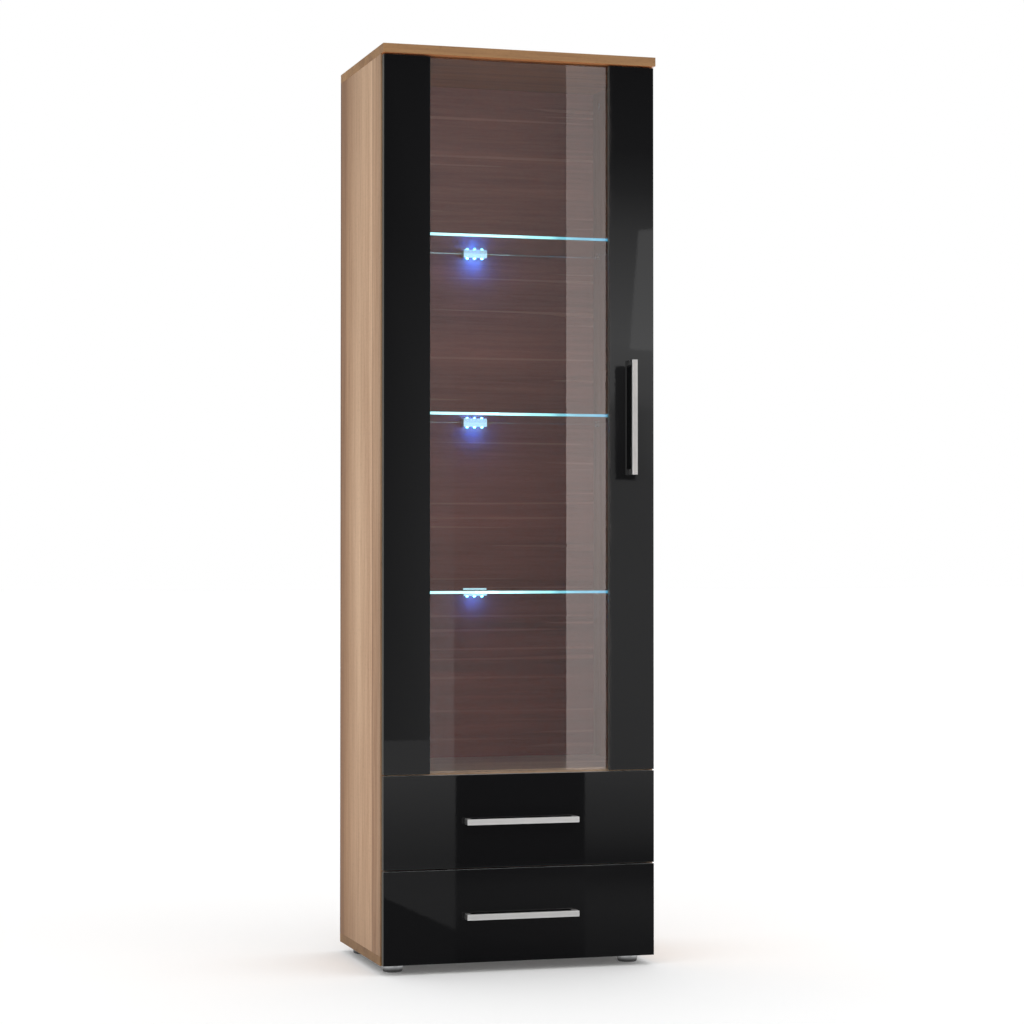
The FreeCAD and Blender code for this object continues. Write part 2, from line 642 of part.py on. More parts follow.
def make_cups(screws):
    """Pressed cups with a flange that has an ear at each end."""
    cups = []
    for z in HINGES:
        axis = (CUP_X, DOOR_BACK, z)
        corner = (f"{CUP_X} - flange_back", DOOR_BACK, f"{z} - flange_height / 2")
        flange = block(corner, "flange_width", "cup_sheet", "flange_height")
        rim = rod(axis, AFT, "cup_radius + cup_rim", "cup_sheet")
        cup = rod(axis, FORE, "cup_radius", "cup_depth")
        hollow = rod(shift(axis, AFT, "cup_sheet"), FORE, "cup_radius - cup_sheet", "cup_depth")
        cups.append(cut(fuse([flange, rim, cup]), [hollow]))
    keep(cut(group(cups), [screws]), "hinge_cups")


def cup_screws():
    """Two screws in the ears of each cup."""
    made = []
    for z in HINGES:
        for step in ("-ear_up", "ear_up"):
            at = (f"{CUP_X} + ear_in", f"{DOOR_BACK} + cup_sheet", f"{z} + {step}")
            made.append(screw(at, FORE, "cup_sheet", "short_screw"))
    return made


def make_keepers():
    """Small plates screwed behind the stiles that hold the pane; returns them and their screws."""
    keepers, made = [], []
    pitch = f"({DOOR_HIGH} - {DOOR_LOW} - 2 * keeper_end) / {KEEPERS - 1}"
    for side, inward in SIDES:
        x = f"({side}) * ({FRONT_HALF} - stile_width + pane_lap + keeper_shift)"
        for k in range(KEEPERS):
            z = f"{DOOR_LOW} + keeper_end + {k} * {pitch}"
            corner = (f"{x} - keeper_width / 2", DOOR_BACK, f"{z} - keeper_height / 2")
            keepers.append(block(corner, "keeper_width", "keeper_thick", "keeper_height"))
            at = shift((x, f"{DOOR_BACK} + keeper_thick", z), inward * -1, "keeper_screw")
            made.append(screw(at, FORE, "keeper_thick", "short_screw"))
    return group(keepers), made


def make_stiles(screws):
    """The two stiles, each rebated behind for the pane; the left one is bored for the cups."""
    bores = [rod((CUP_X, DOOR_BACK, z), FORE, "cup_radius", "cup_depth") for z in HINGES]
    rebate = "door_thick - pane_thick"
    for name, side in (("left", "-1"), ("right", "1")):
        edge, inner = f"({side}) * {FRONT_HALF}", f"({side}) * ({FRONT_HALF} - stile_width)"
        lap = f"({side}) * ({FRONT_HALF} - stile_width + pane_lap + pane_play)"
        profile = [(edge, "0"), (edge, "door_thick"), (lap, "door_thick"), (lap, rebate), (inner, rebate),
                   (inner, "0")]
        at = ("0", FACE, DOOR_LOW)
        stile = extrude(name + "_stile", "XY", profile, f"{DOOR_HIGH} - {DOOR_LOW}", at, "edge_round")
        keep(cut(stile, [screws] + (bores if name == "left" else [])), f"door_{name}_stile")


def make_door():
    """Two stiles, the pane between them, the handle and the small fittings."""
    handle_at = (f"{FRONT_HALF} - handle_inset", FACE, DOOR_MID)
    keepers, keeper_screws = make_keepers()
    screws = keep(group(keeper_screws + cup_screws() + handle_screws(handle_at, True)), "door_screws")
    keep(cut(keepers, [screws]), "glass_clips")
    make_cups(screws)
    make_stiles(screws)
    at = ("0", f"{DOOR_BACK} - pane_thick", f"{DOOR_LOW} + pane_short")
    width = f"2 * ({FRONT_HALF} - stile_width + pane_lap)"
    height = f"{DOOR_HIGH} - {DOOR_LOW} - 2 * pane_short"
    keep(board("pane", width, "pane_thick", height, at, "glass_round"), "door_glass")
    make_handle("door_handle", handle_at, True, [screws])
    pads = [rod((f"{FRONT_HALF} - pad_inset", DOOR_BACK, z), AFT, "pad_radius", "pad_thick")
            for z in (f"{DOOR_LOW} + pad_end", f"{DOOR_HIGH} - pad_end")]
    keep(group(pads), "door_bumpers")


# ---- drawers ------------------------------------------------------------------------------------

ROLLER_UP = "(runner_sheet + roll_gap + roller_radius)"
FRONT_AXLE = f"({FRONT} + runner_fore + front_axle_fore)"
REAR_AXLE = f"({DOOR_BACK} + box_depth - rear_axle_aft)"


def make_roller(name, x_low, width, y, z):
    """Two nylon rollers, one for each side of the cabinet; x_low is the face nearer the middle."""
    bore, rim = "axle_radius + axle_play", "roller_radius - roller_round"
    half = [(bore, "0"), (rim, "0"), ("roller_radius", "roller_round"),
            ("roller_radius", f"{width} - roller_round"), (rim, width), (bore, width)]
    return group([turned(name, half, (f"({side}) * ({x_low})", y, z), Rotation(UP, inward * -1))
                  for side, inward in SIDES])


def make_cabinet_runners(drawer, screws):
    """C-shaped members on the side panels, each with an axle for its front roller."""
    low = runner_low(drawer)
    axle_z = f"{low} + {ROLLER_UP}"
    members = []
    for side, inward in SIDES:
        wall, web, lip = [f"({side}) * ({SIDE_IN} - {out})" for out in ("0", "runner_sheet", "runner_lip")]
        inside = "runner_tall - runner_sheet"
        profile = [(wall, "0"), (lip, "0"), (lip, "runner_sheet"), (web, "runner_sheet"),
                   (web, inside), (lip, inside), (lip, "runner_tall"), (wall, "runner_tall")]
        channel = extrude("channel", "XZ", profile, "runner_length", ("0", f"{FRONT} + runner_fore", low))
        axle = rod((web, FRONT_AXLE, axle_z), inward, "axle_radius", "front_axle_length")
        members.append(fuse([channel, axle]))
    keep(cut(group(members), [screws]), f"cabinet_runners_{drawer}")
    x_low = f"{SIDE_IN} - front_roller_in"
    roller = make_roller("front_roller", x_low, "front_roller_width", FRONT_AXLE, axle_z)
    keep(roller, f"front_rollers_{drawer}")


def make_drawer_runners(drawer):
    """Angle members under the box sides, each with an axle for its rear roller."""
    low = f"{DRAWERS[drawer]} + box_rise"
    axle_z = f"{runner_low(drawer)} + {ROLLER_UP}"
    ledge = f"({axle_z} + roller_radius + roll_gap - ({low}))"
    over = f"{ledge} + runner_sheet"
    members = []
    for side, inward in SIDES:
        under, face, web, lip = [f"({side}) * ({BOX_HALF} + {out})"
                                 for out in ("-box_side", "0", "runner_sheet", "ledge_width")]
        profile = [(web, "-runner_sheet"), (under, "-runner_sheet"), (under, "0"), (face, "0"),
                   (face, over), (lip, over), (lip, ledge), (web, ledge)]
        angle = extrude("angle", "XZ", profile, "box_depth", ("0", DOOR_BACK, low))
        axle = rod((web, REAR_AXLE, axle_z), inward * -1, "axle_radius", "rear_axle_length")
        members.append(fuse([angle, axle]))
    keep(group(members), f"drawer_runners_{drawer}")
    roller = make_roller("rear_roller", f"{SIDE_IN} - rear_roller_in", "rear_roller_width", REAR_AXLE, axle_z)
    keep(roller, f"rear_rollers_{drawer}")


def box_fixings(low):
    """Screws through the box sides into the back, and dowels from the sides into the front."""
    made = []
    for side, inward in SIDES:
        for rise in ("box_screw_low", "box_height - box_screw_high"):
            at = (f"({side}) * {BOX_HALF}", f"{DOOR_BACK} + box_depth - box_side / 2", f"{low} + {rise}")
            made.append(screw(at, inward, "box_head", "box_fixing"))
        for rise in ("box_dowel_low", "box_height - box_dowel_high"):
            at = (f"({side}) * ({BOX_HALF} - box_side / 2)", f"{FACE} + box_dowel_skin", f"{low} + {rise}")
            made.append(rod(at, AFT, "dowel_radius", "box_fixing"))
    return made


def make_drawer(drawer):
    """Front with handle, box sides, back and bottom."""
    low = f"({DRAWERS[drawer]} + box_rise)"
    sheet_low = f"({low} + sheet_rise)"
    handle_at = ("0", FACE, f"{DRAWERS[drawer]} + front_height / 2")
    screws = keep(group(handle_screws(handle_at, False) + box_fixings(low)), f"drawer_{drawer}_fixings")
    half_sheet = f"({BOX_HALF} - box_side + groove_depth)"
    sheet_front = f"{DOOR_BACK} - groove_depth"
    sheet_depth = "box_depth + groove_depth"
    groove = block((f"-{half_sheet}", sheet_front, sheet_low), f"2 * {half_sheet}", sheet_depth, "box_sheet")
    at = ("0", FACE, DRAWERS[drawer])
    front = board("front_" + drawer, f"2 * {FRONT_HALF}", "door_thick", "front_height", at)
    keep(cut(front, [screws, groove]), f"drawer_{drawer}_front")
    for name, side in (("left", "-1"), ("right", "1")):
        at = (f"({side}) * ({BOX_HALF} - box_side / 2)", DOOR_BACK, low)
        plank = board(f"{name}_{drawer}", "box_side", "box_depth", "box_height", at)
        keep(cut(plank, [screws, groove]), f"drawer_{drawer}_{name}_side")
    at = ("0", f"{DOOR_BACK} + box_depth - box_side", f"{sheet_low} + box_sheet")
    height = "box_height - sheet_rise - box_sheet"
    back = board("back_" + drawer, f"2 * ({BOX_HALF} - box_side)", "box_side", height, at)
    keep(cut(back, [screws]), f"drawer_{drawer}_back")
    at = ("0", sheet_front, sheet_low)
    bottom = board("bottom_" + drawer, f"2 * {half_sheet}", sheet_depth, "box_sheet", at, None)
    keep(bottom, f"drawer_{drawer}_bottom")
    make_handle(f"drawer_{drawer}_handle", handle_at, False, [screws])


# ---- whole cabinet ------------------------------------------------------------------------------

def check_and_export():
    """Stop on any failed object or shape, then write one STEP file for each sub-part."""
    doc.recompute()
    for made in doc.Objects:
        if "Invalid" in made.State or "Error" in made.State:
            raise RuntimeError(f"{made.Label} failed: {made.State}")
    for label, made in parts.items():
        if made.Shape.isNull() or not made.Shape.isValid() or not made.Shape.Solids:
            raise RuntimeError(f"{label} has no valid solid")
    os.makedirs("parts", exist_ok=True)
    for label, made in parts.items():
        made.Shape.exportStep(f"parts/{label}.step")
        print(f"{label}: {len(made.Shape.Solids)} solid(s), {made.Shape.Volume / 1000:.1f} cm3")


make_sheet()
board_fittings = join_boards()
case_screws = carcass_screws()
make_panels(board_fittings, case_screws, shelf_pins())
make_feet()
make_shelves()
make_lights()
make_driver()
make_grommet()
make_bracket(case_screws)
make_hinges(case_screws)
make_links()
make_door()
for level_name in DRAWERS:
    make_cabinet_runners(level_name, case_screws)
    make_drawer_runners(level_name)
    make_drawer(level_name)
check_and_export()
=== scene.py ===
import math

import bmesh
import bpy
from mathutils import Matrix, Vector
from mathutils.geometry import tessellate_polygon


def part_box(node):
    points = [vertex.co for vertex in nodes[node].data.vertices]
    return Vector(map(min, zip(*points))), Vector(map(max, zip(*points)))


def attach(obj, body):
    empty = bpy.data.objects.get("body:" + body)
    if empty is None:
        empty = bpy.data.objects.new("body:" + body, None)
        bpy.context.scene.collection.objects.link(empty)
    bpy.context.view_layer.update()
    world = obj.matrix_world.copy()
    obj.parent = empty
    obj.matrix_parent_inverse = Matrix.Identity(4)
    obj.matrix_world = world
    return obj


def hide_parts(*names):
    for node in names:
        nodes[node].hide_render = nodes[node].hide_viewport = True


# Looks of the display cabinet: walnut laminate, black high gloss, glass and satin metal. Metres, +Z up.

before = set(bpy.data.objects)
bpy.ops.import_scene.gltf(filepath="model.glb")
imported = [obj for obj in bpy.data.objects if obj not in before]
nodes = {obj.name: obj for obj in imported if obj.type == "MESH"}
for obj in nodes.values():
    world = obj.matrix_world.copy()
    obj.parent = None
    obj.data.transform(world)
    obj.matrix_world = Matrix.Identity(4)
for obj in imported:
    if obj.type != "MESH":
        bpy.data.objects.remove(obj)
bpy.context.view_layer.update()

DOOR_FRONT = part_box("door_left_stile")[0].y
CASE_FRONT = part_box("left_side_panel")[0].y
CASE_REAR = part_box("left_side_panel")[1].y


# ---- material building blocks -------------------------------------------------------------------

class Shader:
    """A material under construction: its node tree, its Principled shader and short calls for nodes."""

    def __init__(self, name):
        self.material = bpy.data.materials.new(name)
        self.material.use_nodes = True
        self.tree = self.material.node_tree
        self.surface = self.tree.nodes["Principled BSDF"]

    def set(self, **values):
        """Put plain values on the Principled shader's own sockets."""
        for name, value in values.items():
            socket = self.surface.inputs[name.replace("_", " ")]
            if hasattr(socket.default_value, "__len__") and len(value) == 3:
                value = (*value, 1.0)
            socket.default_value = value

    def link(self, source, target):
        self.tree.links.new(source, self.surface.inputs[target] if isinstance(target, str) else target)

    def node(self, kind, **settings):
        made = self.tree.nodes.new(kind)
        for name, value in settings.items():
            setattr(made, name, value)
        return made

    def place(self):
        """Coordinates in the cabinet's own frame, in metres."""
        return self.node("ShaderNodeTexCoord").outputs["Object"]

    def scaled(self, source, scale, offset=(0, 0, 0)):
        mapping = self.node("ShaderNodeMapping")
        mapping.inputs["Scale"].default_value = scale
        mapping.inputs["Location"].default_value = offset
        self.tree.links.new(source, mapping.inputs["Vector"])
        return mapping.outputs["Vector"]

    def noise(self, source, scale=1.0, detail=2.0, rough=0.5, distortion=0.0):
        made = self.node("ShaderNodeTexNoise")
        values = {"Scale": scale, "Detail": detail, "Roughness": rough, "Distortion": distortion}
        for name, value in values.items():
            made.inputs[name].default_value = value
        self.tree.links.new(source, made.inputs["Vector"])
        return made.outputs["Fac"]

    def math(self, operation, first, second=0.0, third=None):
        made = self.node("ShaderNodeMath", operation=operation)
        for socket, value in zip(made.inputs, (first, second, third)):
            if value is None:
                continue
            if isinstance(value, (int, float)):
                socket.default_value = value
            else:
                self.tree.links.new(value, socket)
        return made.outputs[0]

    def facing(self, axis):
        """The surface's own direction along one axis, in the cabinet's closed state."""
        return self.split(self.node("ShaderNodeTexCoord").outputs["Normal"], axis)

    def split(self, source, axis):
        """One component of a vector."""
        made = self.node("ShaderNodeSeparateXYZ")
        self.tree.links.new(source, made.inputs[0])
        return made.outputs[axis]

    def ramp(self, source, stops):
        """A colour ramp; stops are (position, colour or grey)."""
        made = self.node("ShaderNodeValToRGB")
        band = made.color_ramp
        while len(band.elements) < len(stops):
            band.elements.new(1.0)
        for element, (position, colour) in zip(band.elements, stops):
            element.position = position
            element.color = (*colour, 1.0) if hasattr(colour, "__len__") else (colour, colour, colour, 1.0)
        self.tree.links.new(source, made.inputs["Fac"])
        return made.outputs["Color"]

    def mix(self, factor, first, second, blend="MIX"):
        made = self.node("ShaderNodeMix", data_type="RGBA", blend_type=blend)
        for socket, value in ((made.inputs[0], factor), (made.inputs[6], first), (made.inputs[7], second)):
            if isinstance(value, (int, float)):
                socket.default_value = value if socket == made.inputs[0] else (value, value, value, 1.0)
            elif isinstance(value, tuple):
                socket.default_value = (*value, 1.0)
            else:
                self.tree.links.new(value, socket)
        return made.outputs[2]

    def bump(self, height, strength, distance):
        made = self.node("ShaderNodeBump")
        made.inputs["Strength"].default_value = strength
        made.inputs["Distance"].default_value = distance
        self.tree.links.new(height, made.inputs["Height"])
        self.link(made.outputs["Normal"], "Normal")


def srgb(red, green, blue):
    """A colour picked on screen, 0 to 255, as linear light."""
    parts = (value / 255 for value in (red, green, blue))
    return tuple(part / 12.92 if part <= 0.04 else ((part + 0.055) / 1.055) ** 2.4 for part in parts)


# ---- materials ----------------------------------------------------------------------------------

def walnut(name, along, tone=1.0, seed=0.0, dark=(150, 116, 88), light=(206, 178, 148), shade=None):
    """Printed walnut laminate: broad bands, fine streaks and short pores, all drawn out along one axis.

    shade, if given, makes a colour that the grain is multiplied by, from the shader and its coordinates.
    """
    shader = Shader(name)
    place = shader.place()
    drawn_out, wandering, pore_length = 0.035, 0.5, 0.10
    drawn = shader.scaled(place, stretch(along, drawn_out), (seed, seed * 1.7, seed * 0.6))
    wander = shader.noise(shader.scaled(place, stretch(along, wandering)), 2.2, 2.0)
    bands = shader.noise(drawn, 17.0, 3.0, 0.55, 0.25)
    streaks = shader.noise(drawn, 150.0, 4.0, 0.62, 0.4)
    fibres = shader.noise(drawn, 900.0, 2.0, 0.5)
    dotted = shader.scaled(place, stretch(along, pore_length), (seed, seed, seed))
    pores = shader.noise(dotted, 1100.0, 1.0, 0.4)
    grain = shader.math("MULTIPLY_ADD", bands, 0.62, shader.math("MULTIPLY", wander, 0.24))
    grain = shader.math("MULTIPLY_ADD", streaks, 0.34, grain)
    grain = shader.math("MULTIPLY_ADD", fibres, 0.10, grain)
    deep, pale = [tuple(c * tone for c in srgb(*colour)) for colour in (dark, light)]
    middle = tuple((a * 0.45 + b * 0.55) for a, b in zip(deep, pale))
    colour = shader.ramp(grain, [(0.44, deep), (0.62, middle), (0.80, pale)])
    dashes = shader.ramp(pores, [(0.30, 0.72), (0.40, 1.0)])
    colour = shader.mix(1.0, colour, dashes, "MULTIPLY")
    if shade:
        colour = shade(shader, place, colour)
    shader.link(colour, "Base Color")
    shader.link(shader.ramp(streaks, [(0.3, 0.46), (0.7, 0.38)]), "Roughness")
    shader.bump(shader.math("MULTIPLY_ADD", pores, 0.6, streaks), 0.10, 0.0003)
    shader.set(Specular_IOR_Level=0.4)
    return shader.material


def stretch(along, scale):
    """Scales that draw a pattern out along one axis."""
    return [scale if axis == along else 1.0 for axis in "XYZ"]


def side_bands_and_painted_shade(shader, place, colour):
    """The side panels' bands, partly print and partly painted light and shade: dark at the rear, paler
    forwards, then a line and a darker strip in front.
    """
    depth = CASE_REAR - CASE_FRONT
    drawn = shader.scaled(place, stretch("Z", 0.05))
    wave = shader.math("MULTIPLY_ADD", shader.noise(drawn, 9.0, 2.0), 0.02, -0.01)
    forward = shader.math("DIVIDE", shader.math("SUBTRACT", shader.split(place, "Y"), CASE_FRONT), depth)
    forward = shader.math("ADD", forward, wave)
    tint = shader.ramp(forward, [
        (0.0, (0.74, 0.69, 0.64)), (0.06, (0.98, 0.93, 0.88)), (0.165, (1.02, 0.97, 0.92)),
        (0.185, (0.80, 0.72, 0.66)), (0.20, (1.36, 1.37, 1.38)), (0.27, (1.20, 1.18, 1.15)),
        (0.62, (0.97, 0.91, 0.86)), (0.84, (0.74, 0.62, 0.50)), (0.965, (0.61, 0.49, 0.39)),
        (0.99, (0.34, 0.25, 0.20))])
    colour = shader.mix(1.0, colour, tint, "MULTIPLY")
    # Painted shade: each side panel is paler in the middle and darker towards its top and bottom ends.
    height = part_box("top_panel")[1].z
    up = shader.math("DIVIDE", shader.split(place, "Z"), height)
    ends = shader.ramp(up, [(0.0, (0.84, 0.78, 0.73)), (0.14, (1.05, 0.99, 0.95)), (0.50, (1.09, 1.05, 1.03)),
                            (0.86, (0.97, 0.91, 0.87)), (1.0, (0.83, 0.77, 0.72))])
    return shader.mix(1.0, colour, ends, "MULTIPLY")


def inlaid(shader, place, colour):
    """The back panel's foil on its front, with thin pale streaks and painted shade that makes it darker and
    redder towards the bottom; raw pressed fibre on its rear.
    """
    drawn = shader.scaled(place, stretch("X", 0.012), (2.0, 0.0, 5.3))
    flash = shader.ramp(shader.noise(drawn, 95.0, 0.0), [(0.672, 0.0), (0.684, 0.5), (0.75, 0.6)])
    colour = shader.mix(flash, colour, srgb(236, 180, 158))
    # Painted shade: the foil darkens towards the display floor.
    low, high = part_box("display_floor")[1].z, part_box("top_panel")[0].z
    up = shader.math("DIVIDE", shader.math("SUBTRACT", shader.split(place, "Z"), low), high - low)
    painted_shade_low = shader.ramp(up, [(0.0, (0.56, 0.29, 0.22)), (0.45, (0.86, 0.68, 0.64)), (0.75, 1.0)])
    colour = shader.mix(1.0, colour, painted_shade_low, "MULTIPLY")
    fibre = shader.noise(place, 420.0, 4.0)
    raw = shader.ramp(fibre, [(0.3, srgb(112, 82, 56)), (0.7, srgb(160, 124, 88))])
    rear = shader.math("GREATER_THAN", shader.split(place, "Y"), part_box("back_panel")[0].y + 0.0005)
    return shader.mix(rear, colour, raw)


def painted_light_below(shader, place, colour):
    """Painted light on the top panel's underside: it is made lighter and redder than its edges."""
    return shader.mix(shader.math("LESS_THAN", shader.facing("Z"), -0.9), colour,
                      shader.mix(1.0, colour, (2.0, 1.5, 1.42), "MULTIPLY"))


def film_below(shader, place, colour):
    """Plain dark balancing film on a board's underside."""
    return shader.mix(shader.math("LESS_THAN", shader.facing("Z"), -0.9), colour, (0.10, 0.095, 0.09))


def black_gloss():
    """Black high-gloss foil: mirror-like, with the faint orange peel of its core board and grey edges, partly
    an edge band and partly painted reflection; edges that face up are paler still, a painted highlight.
    """
    shader = Shader("black_gloss")
    place = shader.place()
    shader.set(Specular_IOR_Level=0.375)
    band = shader.ramp(shader.math("ABSOLUTE", shader.facing("Y")), [(0.30, 1.0), (0.60, 0.0)])
    # Painted highlight: upward-facing edges are a paler grey than the side edges.
    upper = shader.math("GREATER_THAN", shader.facing("Z"), 0.9)
    edge_band_and_highlight = shader.mix(upper, (0.075, 0.075, 0.066), (0.42, 0.42, 0.42))
    shader.link(shader.mix(band, (0.0045, 0.0045, 0.0050), edge_band_and_highlight), "Base Color")
    haze = shader.ramp(shader.noise(place, 9.0, 3.0, 0.6), [(0.35, 0.010), (0.75, 0.024)])
    shader.link(shader.mix(band, haze, 0.28), "Roughness")
    shader.bump(shader.noise(place, 210.0, 1.0, 0.4), 0.006, 0.0004)
    return shader.material


def pane_glass():
    """The door's float glass, faintly grey."""
    shader = Shader("door_glass")
    shader.set(Base_Color=(0.76, 0.75, 0.76), Transmission_Weight=1.0, IOR=1.5, Specular_IOR_Level=0.35)
    smear = shader.noise(shader.place(), 7.0, 4.0, 0.6)
    shader.link(shader.ramp(smear, [(0.45, 0.0), (0.85, 0.012)]), "Roughness")
    return shader.material


def shelf_glass():
    """Clear shelf glass; its ground front edge carries the clip's light, brightest in the clip's beam."""
    shader = Shader("shelf_glass")
    shader.set(Base_Color=(0.93, 0.985, 0.98), Transmission_Weight=1.0, IOR=1.5, Roughness=0.0)
    place = shader.place()
    front = shader.math("LESS_THAN", shader.facing("Y"), -0.5)
    beam_middle, edge_strength = -0.05, 1.34
    aside = shader.math("ABSOLUTE", shader.math("SUBTRACT", shader.split(place, "X"), beam_middle))
    beam = shader.ramp(aside, [
        (0.0, 1.0), (0.13, 0.88), (0.15, 0.38), (0.20, 0.30), (0.235, 0.49), (0.27, 0.38), (0.33, 0.15)])
    hue = shader.ramp(aside, [
        (0.0, (0.46, 0.96, 1.0)), (0.12, (0.42, 0.96, 1.0)), (0.17, (0.20, 0.82, 0.90)),
        (0.25, (0.16, 0.66, 1.0))])
    shader.link(hue, "Emission Color")
    lit = shader.math("MULTIPLY", beam, front)
    shader.link(shader.math("MULTIPLY", lit, edge_strength), "Emission Strength")
    return shader.material


def brushed(name, colour, along, metallic=1.0, ends=1.0, wash=0.0):
    """Metal with fine brush lines along one axis; a lower metallic value is a hazier anodised coat.

    ends is the tone that the faces looking along that axis are darkened to, as painted shade, and wash is how
    strongly the light of the clip's own lenses spreads over its front, as a painted glow.
    """
    shader = Shader(name)
    roughness, fineness, depth, drawn_out = 0.30, 2600.0, 0.16, 0.012
    lines = shader.noise(shader.scaled(shader.place(), stretch(along, drawn_out)), fineness, 3.0, 0.6)
    cloud = shader.noise(shader.place(), 30.0, 2.0)
    shader.set(Metallic=metallic)
    darker, paler = tuple(c * 0.86 for c in colour), tuple(min(1.0, c * 1.1) for c in colour)
    shade = shader.mix(lines, darker, paler)
    # Painted shade: faces that look along the brush axis are darkened.
    painted_end_shade = shader.ramp(shader.math("ABSOLUTE", shader.facing(along)), [(0.5, 1.0), (0.9, ends)])
    shader.link(shader.mix(1.0, shade, painted_end_shade, "MULTIPLY"), "Base Color")
    if wash:
        shader.set(Emission_Color=(0.35, 0.85, 1.0))
        front = shader.ramp(shader.math("MULTIPLY", shader.facing("Y"), -1.0), [(0.1, 0.0), (0.8, wash)])
        shader.link(front, "Emission Strength")
    shader.link(shader.math("MULTIPLY_ADD", cloud, 0.10, roughness - 0.05), "Roughness")
    shader.bump(lines, depth, 0.00012)
    return shader.material


def plated(name, colour, roughness=0.26):
    """Zinc-plated steel with a mottled passivation."""
    shader = Shader(name)
    spots = shader.noise(shader.place(), 260.0, 3.0, 0.6)
    shader.set(Metallic=1.0)
    shader.link(shader.mix(spots, tuple(c * 0.85 for c in colour), colour), "Base Color")
    shader.link(shader.math("MULTIPLY_ADD", spots, 0.2, roughness - 0.08), "Roughness")
    shader.bump(spots, 0.06, 0.0002)
    return shader.material


def moulded(name, colour, roughness, grain=900.0, depth=0.10, **extra):
    """Moulded plastic, rubber or powder coat with a fine surface grain."""
    shader = Shader(name)
    fine = shader.noise(shader.place(), grain, 2.0, 0.5)
    broad = shader.noise(shader.place(), 25.0, 2.0, 0.5)
    darker, paler = tuple(c * 0.93 for c in colour), tuple(min(1.0, c * 1.04) for c in colour)
    shader.link(shader.mix(broad, darker, paler), "Base Color")
    shader.link(shader.math("MULTIPLY_ADD", fine, 0.12, roughness - 0.06), "Roughness")
    shader.bump(fine, depth, 0.0002)
    shader.set(**extra)
    return shader.material


def lens():
    """Clear moulded lens, lit from behind by a cool white diode."""
    shader = Shader("led_lens")
    shader.set(Base_Color=(0.8, 0.9, 1.0), Roughness=0.1, Emission_Color=(0.12, 0.62, 1.0))
    ripple = shader.noise(shader.place(), 700.0, 1.0)
    shader.link(shader.math("MULTIPLY_ADD", ripple, 8.0, 16.0), "Emission Strength")
    return shader.material


def foot_plastic():
    """Silver-coloured moulded foot whose lower part is painted dark: painted shade where it stands on the
    floor.
    """
    shader = Shader("foot")
    # Painted shade: the foot is dark up to the first height and fades to silver by the second.
    shade_full_below, shade_fades_by = 0.0045, 0.0125
    up = shader.split(shader.place(), "Z")
    speckle = shader.noise(shader.place(), 1400.0, 3.0, 0.7)
    silver = shader.mix(shader.noise(shader.place(), 25.0), (0.56, 0.57, 0.58), (0.64, 0.65, 0.66))
    step = shader.node("ShaderNodeMapRange")
    step.inputs["From Min"].default_value = shade_full_below
    step.inputs["From Max"].default_value = shade_fades_by
    shader.tree.links.new(up, step.inputs["Value"])
    body = step.outputs["Result"]
    dark = shader.mix(speckle, (0.05, 0.05, 0.05), (0.10, 0.10, 0.10))
    shader.link(shader.mix(body, dark, silver), "Base Color")
    shader.link(shader.math("MULTIPLY", body, 0.5), "Metallic")
    shader.link(shader.math("MULTIPLY_ADD", body, -0.5, 0.86), "Roughness")
    shader.bump(speckle, 0.12, 0.0003)
    return shader.material


def dress(names, material):
    """Give CAD nodes one material."""
    for name in names:
        mesh = nodes[name].data
        mesh.materials.clear()
        mesh.materials.append(material)


